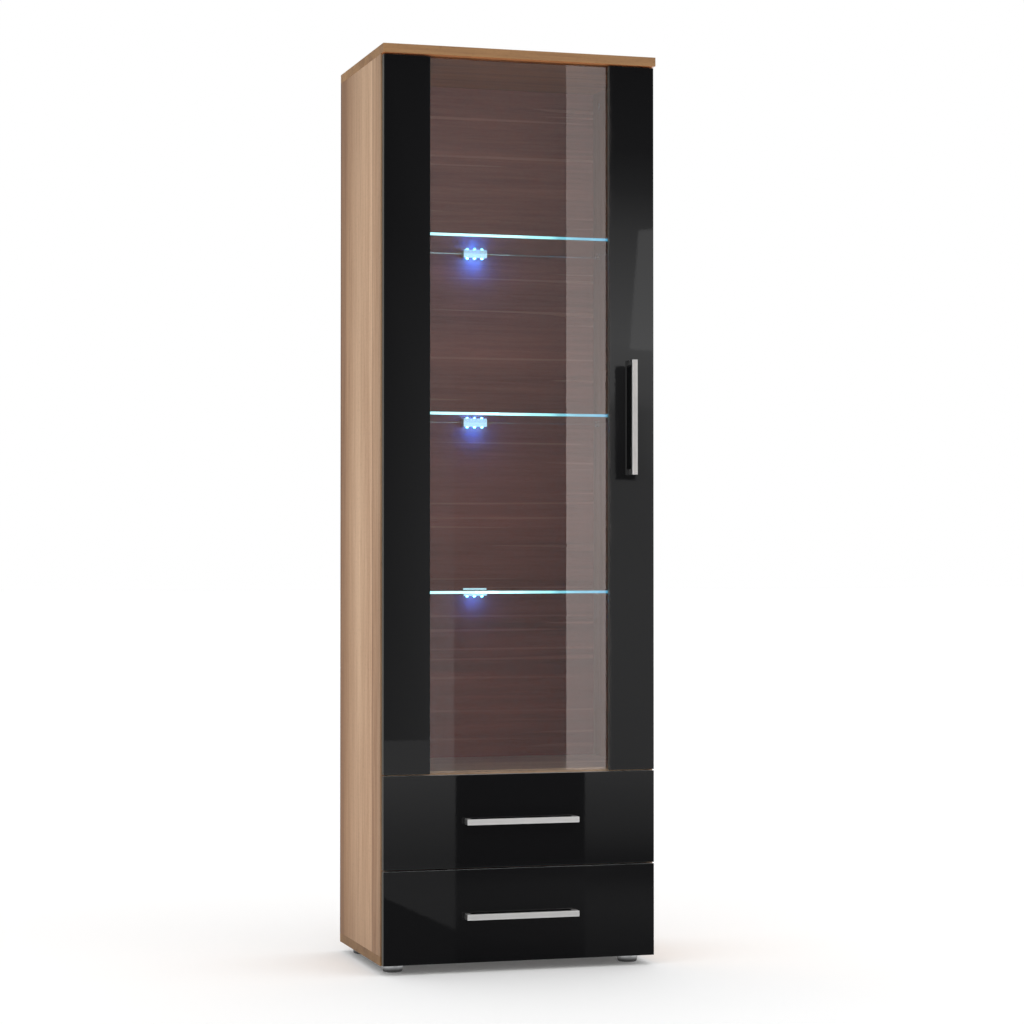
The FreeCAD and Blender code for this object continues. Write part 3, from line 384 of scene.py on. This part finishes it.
def dress_all():
    """Give every CAD node its material, and put real screws and dowels in place of the plain rods."""
    level = ("lower", "middle", "upper")
    drawers = ("lower", "upper")
    # Side panels: print bands together with painted light and shade.
    dress(["left_side_panel", "right_side_panel"], walnut("walnut_upright", "Z", seed=0.4, shade=side_bands_and_painted_shade))
    level_colours = {"dark": (134, 93, 58), "light": (188, 143, 92)}
    # The top panel's underside carries painted light.
    dress(["top_panel"], walnut("walnut_level", "X", tone=0.80, seed=7.3, shade=painted_light_below, **level_colours))
    # The display floor is painted lighter than the other walnut, as painted light from the clips falling on it.
    dress(["display_floor"], walnut("walnut_floor", "X", tone=1.5, seed=4.1))
    dress(["base_panel"], walnut("walnut_base", "X", tone=0.62, seed=2.6, shade=film_below, **level_colours))
    foil_colours = {"dark": (135, 79, 68), "light": (195, 128, 111)}
    dress(["back_panel"], walnut("back_panel_foil", "X", tone=1.25, seed=3.1, shade=inlaid, **foil_colours))
    dress(["door_left_stile", "door_right_stile"] + [f"drawer_{d}_front" for d in drawers], black_gloss())
    dress(["door_glass"], pane_glass())
    dress([f"glass_shelf_{name}" for name in level], shelf_glass())
    satin = (0.80, 0.80, 0.79)
    dress(["door_handle"], brushed("satin_aluminium_upright", satin, "Z"))
    # The drawer handles' sideways-facing faces are darkened by painted shade.
    dress([f"drawer_{d}_handle" for d in drawers],
          brushed("satin_aluminium_handle", (0.85, 0.85, 0.84), "X", metallic=0.75, ends=0.30))
    dress([f"led_clip_{name}" for name in level], brushed("clip_housing", satin, "X", metallic=0.75, wash=0.9))
    zinc = plated("zinc_steel", (0.72, 0.73, 0.75))
    dress(["cam_bolts", "cam_locks", "carcass_screws", "door_screws", "shelf_pins", "glass_clips"]
          + ["wall_bracket"] + [f"drawer_{d}_fixings" for d in drawers], zinc)
    nickel = plated("nickel_steel", (0.80, 0.78, 0.74), 0.2)
    dress([f"hinge_{piece}" for piece in ("arms", "plates", "cups", "links")], nickel)
    coat = moulded("coated_steel", (0.82, 0.82, 0.80), 0.42, 700.0, 0.12)
    dress([f"{side}_runners_{d}" for side in ("cabinet", "drawer") for d in drawers], coat)
    dress([f"{side}_rollers_{d}" for side in ("front", "rear") for d in drawers],
          moulded("white_nylon", (0.84, 0.84, 0.80), 0.38))
    dress([f"foot_{y}_{x}" for y in ("front", "rear") for x in ("left", "right")], foot_plastic())
    dress(["led_driver", "cable_grommet"], moulded("dark_plastic", (0.02, 0.02, 0.022), 0.5, 600.0, 0.3))
    dress(["led_lenses"], lens())
    board = moulded("drawer_board", (0.70, 0.69, 0.66), 0.44, 1500.0, 0.05)
    box_pieces = ("left_side", "right_side", "back", "bottom")
    dress([f"drawer_{d}_{piece}" for d in drawers for piece in box_pieces], board)
    beech = walnut("beech", "X", seed=1.2, dark=(170, 130, 88), light=(214, 180, 134))
    dress(["dowels"], beech)
    dress(["door_bumpers"], moulded("clear_rubber", (0.7, 0.71, 0.71), 0.3, Transmission_Weight=0.5))
    make_fixings(zinc, beech)


# ---- screws and drawer dowels -------------------------------------------------------------------

SIDES = 20              # corners round a screw


def solids(node):
    """A CAD node's separate solids, each as a list of its corner points."""
    mesh = nodes[node].data
    points = [tuple(round(c, 6) for c in vertex.co) for vertex in mesh.vertices]
    group = {point: {point} for point in points}
    for edge in mesh.edges:
        small, large = sorted((group[points[v]] for v in edge.vertices), key=len)
        if small is not large:
            large |= small
            for point in small:
                group[point] = large
    return sorted(sorted(members) for members in {id(members): members for members in group.values()}.values())


class Rod:
    """A straight fixing as the CAD has it: where its head is, which way it points and how thick it is."""

    def __init__(self, points):
        low, high = (Vector([limit(p[a] for p in points) for a in range(3)]) for limit in (min, max))
        axis = max(range(3), key=lambda a: high[a] - low[a])
        middle = (low + high) / 2
        across = [(Vector(p) - middle) * Vector([float(a != axis) for a in range(3)]) for p in points]
        reach = [offset.length for offset in across]
        nearly = 0.9
        wide = [p[axis] for p, distance in zip(points, reach) if distance > nearly * max(reach)]
        self.length = high[axis] - low[axis]
        self.head_radius, self.shank_radius = max(reach), min(reach)
        self.head_depth = max(wide) - min(wide)
        self.headless = self.head_depth > nearly * self.length
        self.inward = Vector([float(a == axis) for a in range(3)])
        at_low_end = min(wide) - low[axis] < self.length / 10
        self.top = middle - self.inward * self.length / 2
        if not at_low_end:
            self.top = middle + self.inward * self.length / 2
            self.inward = -self.inward


class Skin:
    """Points and faces of one visual piece, gathered rod by rod."""

    def __init__(self):
        self.points, self.faces = [], []

    def aim(self, rod):
        self.rod = rod
        self.side = Vector((0, 0, 1)) if abs(rod.inward.z) < 0.5 else Vector((1, 0, 0))
        self.other = rod.inward.cross(self.side)

    def outline(self, depth, shape):
        """Put a flat outline at a depth below the rod's top, and give back its points' numbers."""
        first = len(self.points)
        for x, y in shape:
            self.points.append(self.rod.top + self.rod.inward * depth + self.side * x + self.other * y)
        return list(range(first, len(self.points)))

    def bridge(self, first, second):
        for k in range(len(first)):
            after = (k + 1) % len(first)
            self.faces.append((first[k], first[after], second[after], second[k]))

    def fill(self, *loops):
        """Close an outline; a second outline is a hole in the first."""
        order = [number for loop in loops for number in loop]
        for corners in tessellate_polygon([[self.points[number] for number in loop] for loop in loops]):
            self.faces.append(tuple(order[corner] for corner in corners))

    def make(self, name, material):
        mesh = bpy.data.meshes.new(name)
        mesh.from_pydata(self.points, [], self.faces)
        tidy = bmesh.new()
        tidy.from_mesh(mesh)
        bmesh.ops.recalc_face_normals(tidy, faces=tidy.faces)
        tidy.to_mesh(mesh)
        tidy.free()
        mesh.materials.append(material)
        made = bpy.data.objects.new(name, mesh)
        bpy.context.scene.collection.objects.link(made)
        return made


def ring(radius, sides=SIDES, flute=0.0):
    """Corners round a circle, every other one drawn in by the flute's depth."""
    turns = [math.tau * k / sides for k in range(sides)]
    radii = [radius - flute * (k % 2) for k in range(sides)]
    return [(r * math.cos(turn), r * math.sin(turn)) for r, turn in zip(radii, turns)]


def cross(arm, half_width):
    """The outline of a cross recess."""
    a, w = arm, half_width
    return [(a, w), (w, w), (w, a), (-w, a), (-w, w), (-a, w),
            (-a, -w), (-w, -w), (-w, -a), (w, -a), (w, -w), (a, -w)]


def add_screw(skin, rod, pitch, point):
    """A pan-head screw with a softened rim, a cross recess and a helical thread.

    point is the length of the thread's taper, or nothing for a blunt end.
    """
    skin.aim(rod)
    rim, recess, neck, neck_length = 0.0004, 0.75, 0.8, 0.001
    thread_top = rod.head_depth + neck_length
    edge = skin.outline(0.0, ring(rod.head_radius - rim))
    mouth = skin.outline(0.0, cross(rod.head_radius * 0.56, rod.head_radius * 0.14))
    bed = skin.outline(rod.head_depth * recess, cross(rod.head_radius * 0.32, rod.head_radius * 0.09))
    skin.fill(edge, mouth)
    skin.bridge(mouth, bed)
    skin.fill(bed)
    last = edge
    for depth, radius in ((rim, rod.head_radius), (rod.head_depth, rod.head_radius),
                          (rod.head_depth, rod.shank_radius * neck), (thread_top, rod.shank_radius * neck)):
        following = skin.outline(depth, ring(radius))
        skin.bridge(last, following)
        last = following
    root = 0.72
    rows_per_turn = 4
    depth = thread_top
    while depth < rod.length - pitch / rows_per_turn:
        depth += pitch / rows_per_turn
        thin = min(1.0, 0.25 + 0.75 * (rod.length - depth) / point) if point else 1.0
        shape = []
        for k, (x, y) in enumerate(ring(rod.shank_radius * 0.99 * thin)):
            phase = (depth / pitch + k / SIDES) % 1.0
            crest = root + (1.0 - root) * (1.0 - abs(2.0 * phase - 1.0))
            shape.append((x * crest, y * crest))
        following = skin.outline(depth, shape)
        skin.bridge(last, following)
        last = following
    skin.fill(last)


def add_dowel(skin, rod):
    """A fluted dowel with chamfered ends."""
    skin.aim(rod)
    chamfer, flute, sides = 0.0008, 0.00018, 40
    last = skin.outline(0.0, ring(rod.head_radius - chamfer, sides))
    skin.fill(last)
    for depth, radius in ((chamfer, rod.head_radius), (rod.length - chamfer, rod.head_radius),
                          (rod.length, rod.head_radius - chamfer)):
        following = skin.outline(depth, ring(radius, sides, flute))
        skin.bridge(last, following)
        last = following
    skin.fill(last)


def make_fixings(zinc, beech):
    """Real screws and dowels in place of the CAD's plain rods."""
    wood_pitch, machine_pitch, wood_point = 0.0022, 0.0014, 0.004
    machine_shank = 0.0019
    for node, body in (("carcass_screws", "carcass"), ("door_screws", "door"),
                       ("drawer_lower_fixings", "drawer_lower"), ("drawer_upper_fixings", "drawer_upper")):
        screws, dowels = Skin(), Skin()
        for points in solids(node):
            rod = Rod(points)
            if rod.headless:
                add_dowel(dowels, rod)
            elif rod.shank_radius > machine_shank:
                add_screw(screws, rod, machine_pitch, 0.0)
            else:
                add_screw(screws, rod, wood_pitch, wood_point)
        for skin, name, material, finish in ((screws, f"{node}_cut", zinc, "zinc_steel"),
                                             (dowels, f"{node}_dowels", beech, "beech")):
            if skin.points:
                made = skin.make(name, material)
                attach(made, body)
                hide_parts(node)


# ---- stage, light and camera --------------------------------------------------------------------

CAMERA_AT = Vector((-1.6243, -5.6312, 0.8726))
CAMERA_TURN = (math.radians(90.91), 0.0, math.radians(-16.42))
CARD_Y = -6.4           # plane of the cards that the fronts reflect, behind the camera
CARD_GAP = 0.02         # one layer of cards to the next


def stage_mesh(name, points, faces, material):
    """A flat piece of the stage."""
    mesh = bpy.data.meshes.new(name)
    mesh.from_pydata(points, [], faces)
    mesh.materials.append(material)
    made = bpy.data.objects.new(name, mesh)
    bpy.context.scene.collection.objects.link(made)
    return made


def glow(name, colour=(1, 1, 1)):
    """An emitter whose strength is written on the card's corners."""
    shader = Shader(name)
    shader.set(Base_Color=(0, 0, 0), Roughness=1.0, Emission_Color=colour)
    shader.link(shader.node("ShaderNodeAttribute", attribute_name="glow").outputs["Fac"], "Emission Strength")
    return shader.material


def mirrored(x, z, layer):
    """The point of a layer of cards that the camera sees reflected in the fronts at x, z."""
    plane = CARD_Y + layer * CARD_GAP
    reach = (DOOR_FRONT - plane) / (DOOR_FRONT - CAMERA_AT.y)
    return x + (x - CAMERA_AT.x) * reach, plane, z + (z - CAMERA_AT.z) * reach


def reflected_only(made, strengths):
    """Write a card's strengths, one for each point, and keep it out of everything but reflections."""
    attribute = made.data.attributes.new("glow", "FLOAT", "POINT")
    attribute.data.foreach_set("value", strengths)
    made.visible_camera = False
    made.visible_diffuse = False
    made.visible_transmission = False
    made.visible_shadow = False


def ladder(name, left, right, steps, layer, material):
    """A card that shows in the fronts between left and right.

    steps are (height, strength at the left, strength at the right).
    """
    points = [mirrored(x, z, layer) for z, _, _ in steps for x in (left, right)]
    faces = [(2 * k, 2 * k + 1, 2 * k + 3, 2 * k + 2) for k in range(len(steps) - 1)]
    made = stage_mesh(name, points, faces, material)
    reflected_only(made, [strength for _, *strengths in steps for strength in strengths])


def patch(name, corners, layer, material):
    """A four-cornered card; corners are (x, z, strength) where it shows in the fronts."""
    points = [mirrored(x, z, layer) for x, z, _ in corners]
    made = stage_mesh(name, points, [(0, 1, 2, 3)], material)
    reflected_only(made, [strength for _, _, strength in corners])


def make_stage():
    """A pale floor, faintly lit of itself, under a plain white sky."""
    floor = Shader("floor")
    floor.set(Roughness=0.9, Specular_IOR_Level=0.1, Emission_Color=(1, 1, 1), Emission_Strength=0.05)
    shade = floor.noise(floor.place(), 1.5, 2.0)
    floor.link(floor.ramp(shade, [(0.3, 0.995), (0.7, 1.0)]), "Base Color")
    size = 60.0
    corners = [(-size, -size, 0), (size, -size, 0), (size, size, 0), (-size, size, 0)]
    stage_mesh("floor", corners, [(0, 1, 2, 3)], floor.material).visible_glossy = False
    world = bpy.data.worlds.new("studio")
    bpy.context.scene.world = world
    world.use_nodes = True
    world.node_tree.nodes["Background"].inputs["Color"].default_value = (1.0, 1.0, 1.0, 1.0)
    world.node_tree.nodes["Background"].inputs["Strength"].default_value = 1.0


def make_cards():
    """The dim studio that the gloss reflects: soft vertical gradients and a few sharper shapes."""
    material = glow("card_glow")
    warm = glow("card_glow_warm", (1.0, 0.88, 0.84))
    edge, inner = 0.32, 0.197           # beyond the fronts' edge, and the stiles' inner edge
    dark_left, dark_right = -0.142, 0.142
    patch("card_room", [(-1.6, -1.4, 0.34), (2.2, -1.4, 0.34), (2.2, 2.6, 0.34), (-1.6, 2.6, 0.34)],
          0, material)
    ladder("card_left_stile", -edge, -inner,
           [(2.0, 0.03, 0.05), (1.55, 0.06, 0.157), (1.17, 0.14, 0.34), (0.92, 0.19, 0.42),
            (0.488, 0.30, 0.47)], 1, material)
    ladder("card_left_low", -edge, dark_left,
           [(0.488, 0.72, 0.75), (0.404, 0.76, 0.74), (0.31, 0.50, 0.50), (0.242, 0.37, 0.35),
            (0.16, 0.40, 0.40), (-0.2, 0.36, 0.36)], 2, material)
    patch("card_left_slope", [(-edge, -0.3, 0.05), (dark_left, -0.3, 0.04), (dark_left, 0.0915, 0.10),
                              (-edge, 0.175, 0.10)], 3, material)
    ladder("card_pane_left", -inner, dark_left, [(0.80, 0.60, 0.60), (0.42, 0.75, 0.75)], 1, material)
    ladder("card_pane_band", 0.1045, inner,
           [(2.0, 2.4, 2.4), (1.5, 3.1, 3.1), (1.05, 4.1, 4.1), (0.6, 3.4, 3.4), (0.418, 3.2, 3.2)], 1, warm)
    ladder("card_pane_middle", dark_left, 0.103,
           [(2.0, 0.32, 0.32), (1.45, 0.32, 0.32), (0.95, 0.12, 0.12), (0.418, 0.10, 0.10)], 1, material)
    ladder("card_middle_low", dark_left, dark_right,
           [(0.416, 0.07, 0.08), (0.23, 0.05, 0.06), (0.212, 0.08, 0.10), (0.18, 0.15, 0.19),
            (0.14, 0.16, 0.20), (0.09, 0.10, 0.15), (0.03, 0.04, 0.07), (-0.3, 0.04, 0.06)], 2, material)
    ladder("card_right_low", dark_right, edge,
           [(0.416, 0.68, 0.70), (0.392, 0.62, 0.64), (0.296, 0.39, 0.39), (0.253, 0.22, 0.22),
            (0.226, 0.13, 0.12), (0.189, 0.15, 0.13), (0.157, 0.24, 0.24), (0.125, 0.26, 0.27),
            (0.04, 0.157, 0.157), (-0.3, 0.10, 0.10)], 2, material)
    ladder("card_right_stile", inner, edge,
           [(2.0, 0.02, 0.02), (1.74, 0.13, 0.13), (1.65, 0.35, 0.33), (1.566, 0.78, 0.75),
            (1.44, 1.20, 1.20), (1.33, 1.50, 1.60), (1.224, 1.32, 1.32), (1.18, 0.75, 1.10),
            (1.096, 0.65, 0.98), (1.01, 0.72, 0.80), (0.80, 0.78, 0.78), (0.416, 0.68, 0.70)], 1, material)
    patch("card_doorway", [(0.210, 1.034, 0.09), (0.256, 1.034, 0.09), (0.256, 1.277, 0.21),
                           (0.210, 1.277, 0.21)], 3, material)
    patch("card_bright", [(0.243, 1.314, 2.10), (edge, 1.310, 2.15), (edge, 1.575, 1.60),
                          (0.263, 1.568, 1.60)], 2, material)
    left, right, low, high, behind = -14.0, -0.45, -6.0, 9.0, 9.0
    wall = [(left, behind, low), (right, behind, low), (right, behind, high), (left, behind, high)]
    reflected_only(stage_mesh("card_rear_wall", wall, [(0, 1, 2, 3)], material), [0.30] * 4)


def area(name, at, towards, power):
    """A large soft light that the gloss does not show."""
    light = bpy.data.lights.new(name, "AREA")
    light.shape = "RECTANGLE"
    light.size = light.size_y = 3.0
    light.energy = power
    made = bpy.data.objects.new(name, light)
    made.location = at
    made.rotation_euler = (Vector(towards) - Vector(at)).to_track_quat("-Z", "Y").to_euler()
    bpy.context.scene.collection.objects.link(made)
    made.visible_glossy = False


def make_lights():
    """Soft light from both sides of the front, and the clips' own light on the back panel."""
    area("key", (-3.2, -3.4, 2.6), (0, 0, 0.9), 6.0)
    area("fill", (3.2, -3.4, 2.4), (0, 0, 0.6), 14.0)
    ahead, below = 0.006, 0.010
    for level in ("lower", "middle", "upper"):
        low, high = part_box(f"led_clip_{level}")
        spot = bpy.data.lights.new(f"clip_light_{level}", "POINT")
        spot.energy = 0.20
        spot.color = (0.01, 0.11, 1.0)
        spot.shadow_soft_size = 0.004
        made = bpy.data.objects.new(spot.name, spot)
        made.location = ((low.x + high.x) / 2, low.y - ahead, low.z - below)
        bpy.context.scene.collection.objects.link(made)
        made.visible_camera = False
        made.visible_transmission = False
        made.visible_glossy = False


def make_camera():
    """The photograph's view: low, from the left, with a long lens."""
    camera = bpy.data.cameras.new("camera")
    camera.lens = 94.8
    camera.sensor_width = 36.0
    camera.clip_end = 200.0
    camera.shift_y = 0.0008
    made = bpy.data.objects.new("camera", camera)
    made.location = CAMERA_AT
    made.rotation_euler = CAMERA_TURN
    bpy.context.scene.collection.objects.link(made)
    bpy.context.scene.camera = made


dress_all()
make_stage()
make_cards()
make_lights()
make_camera()
bpy.context.scene.view_settings.view_transform = "Standard"
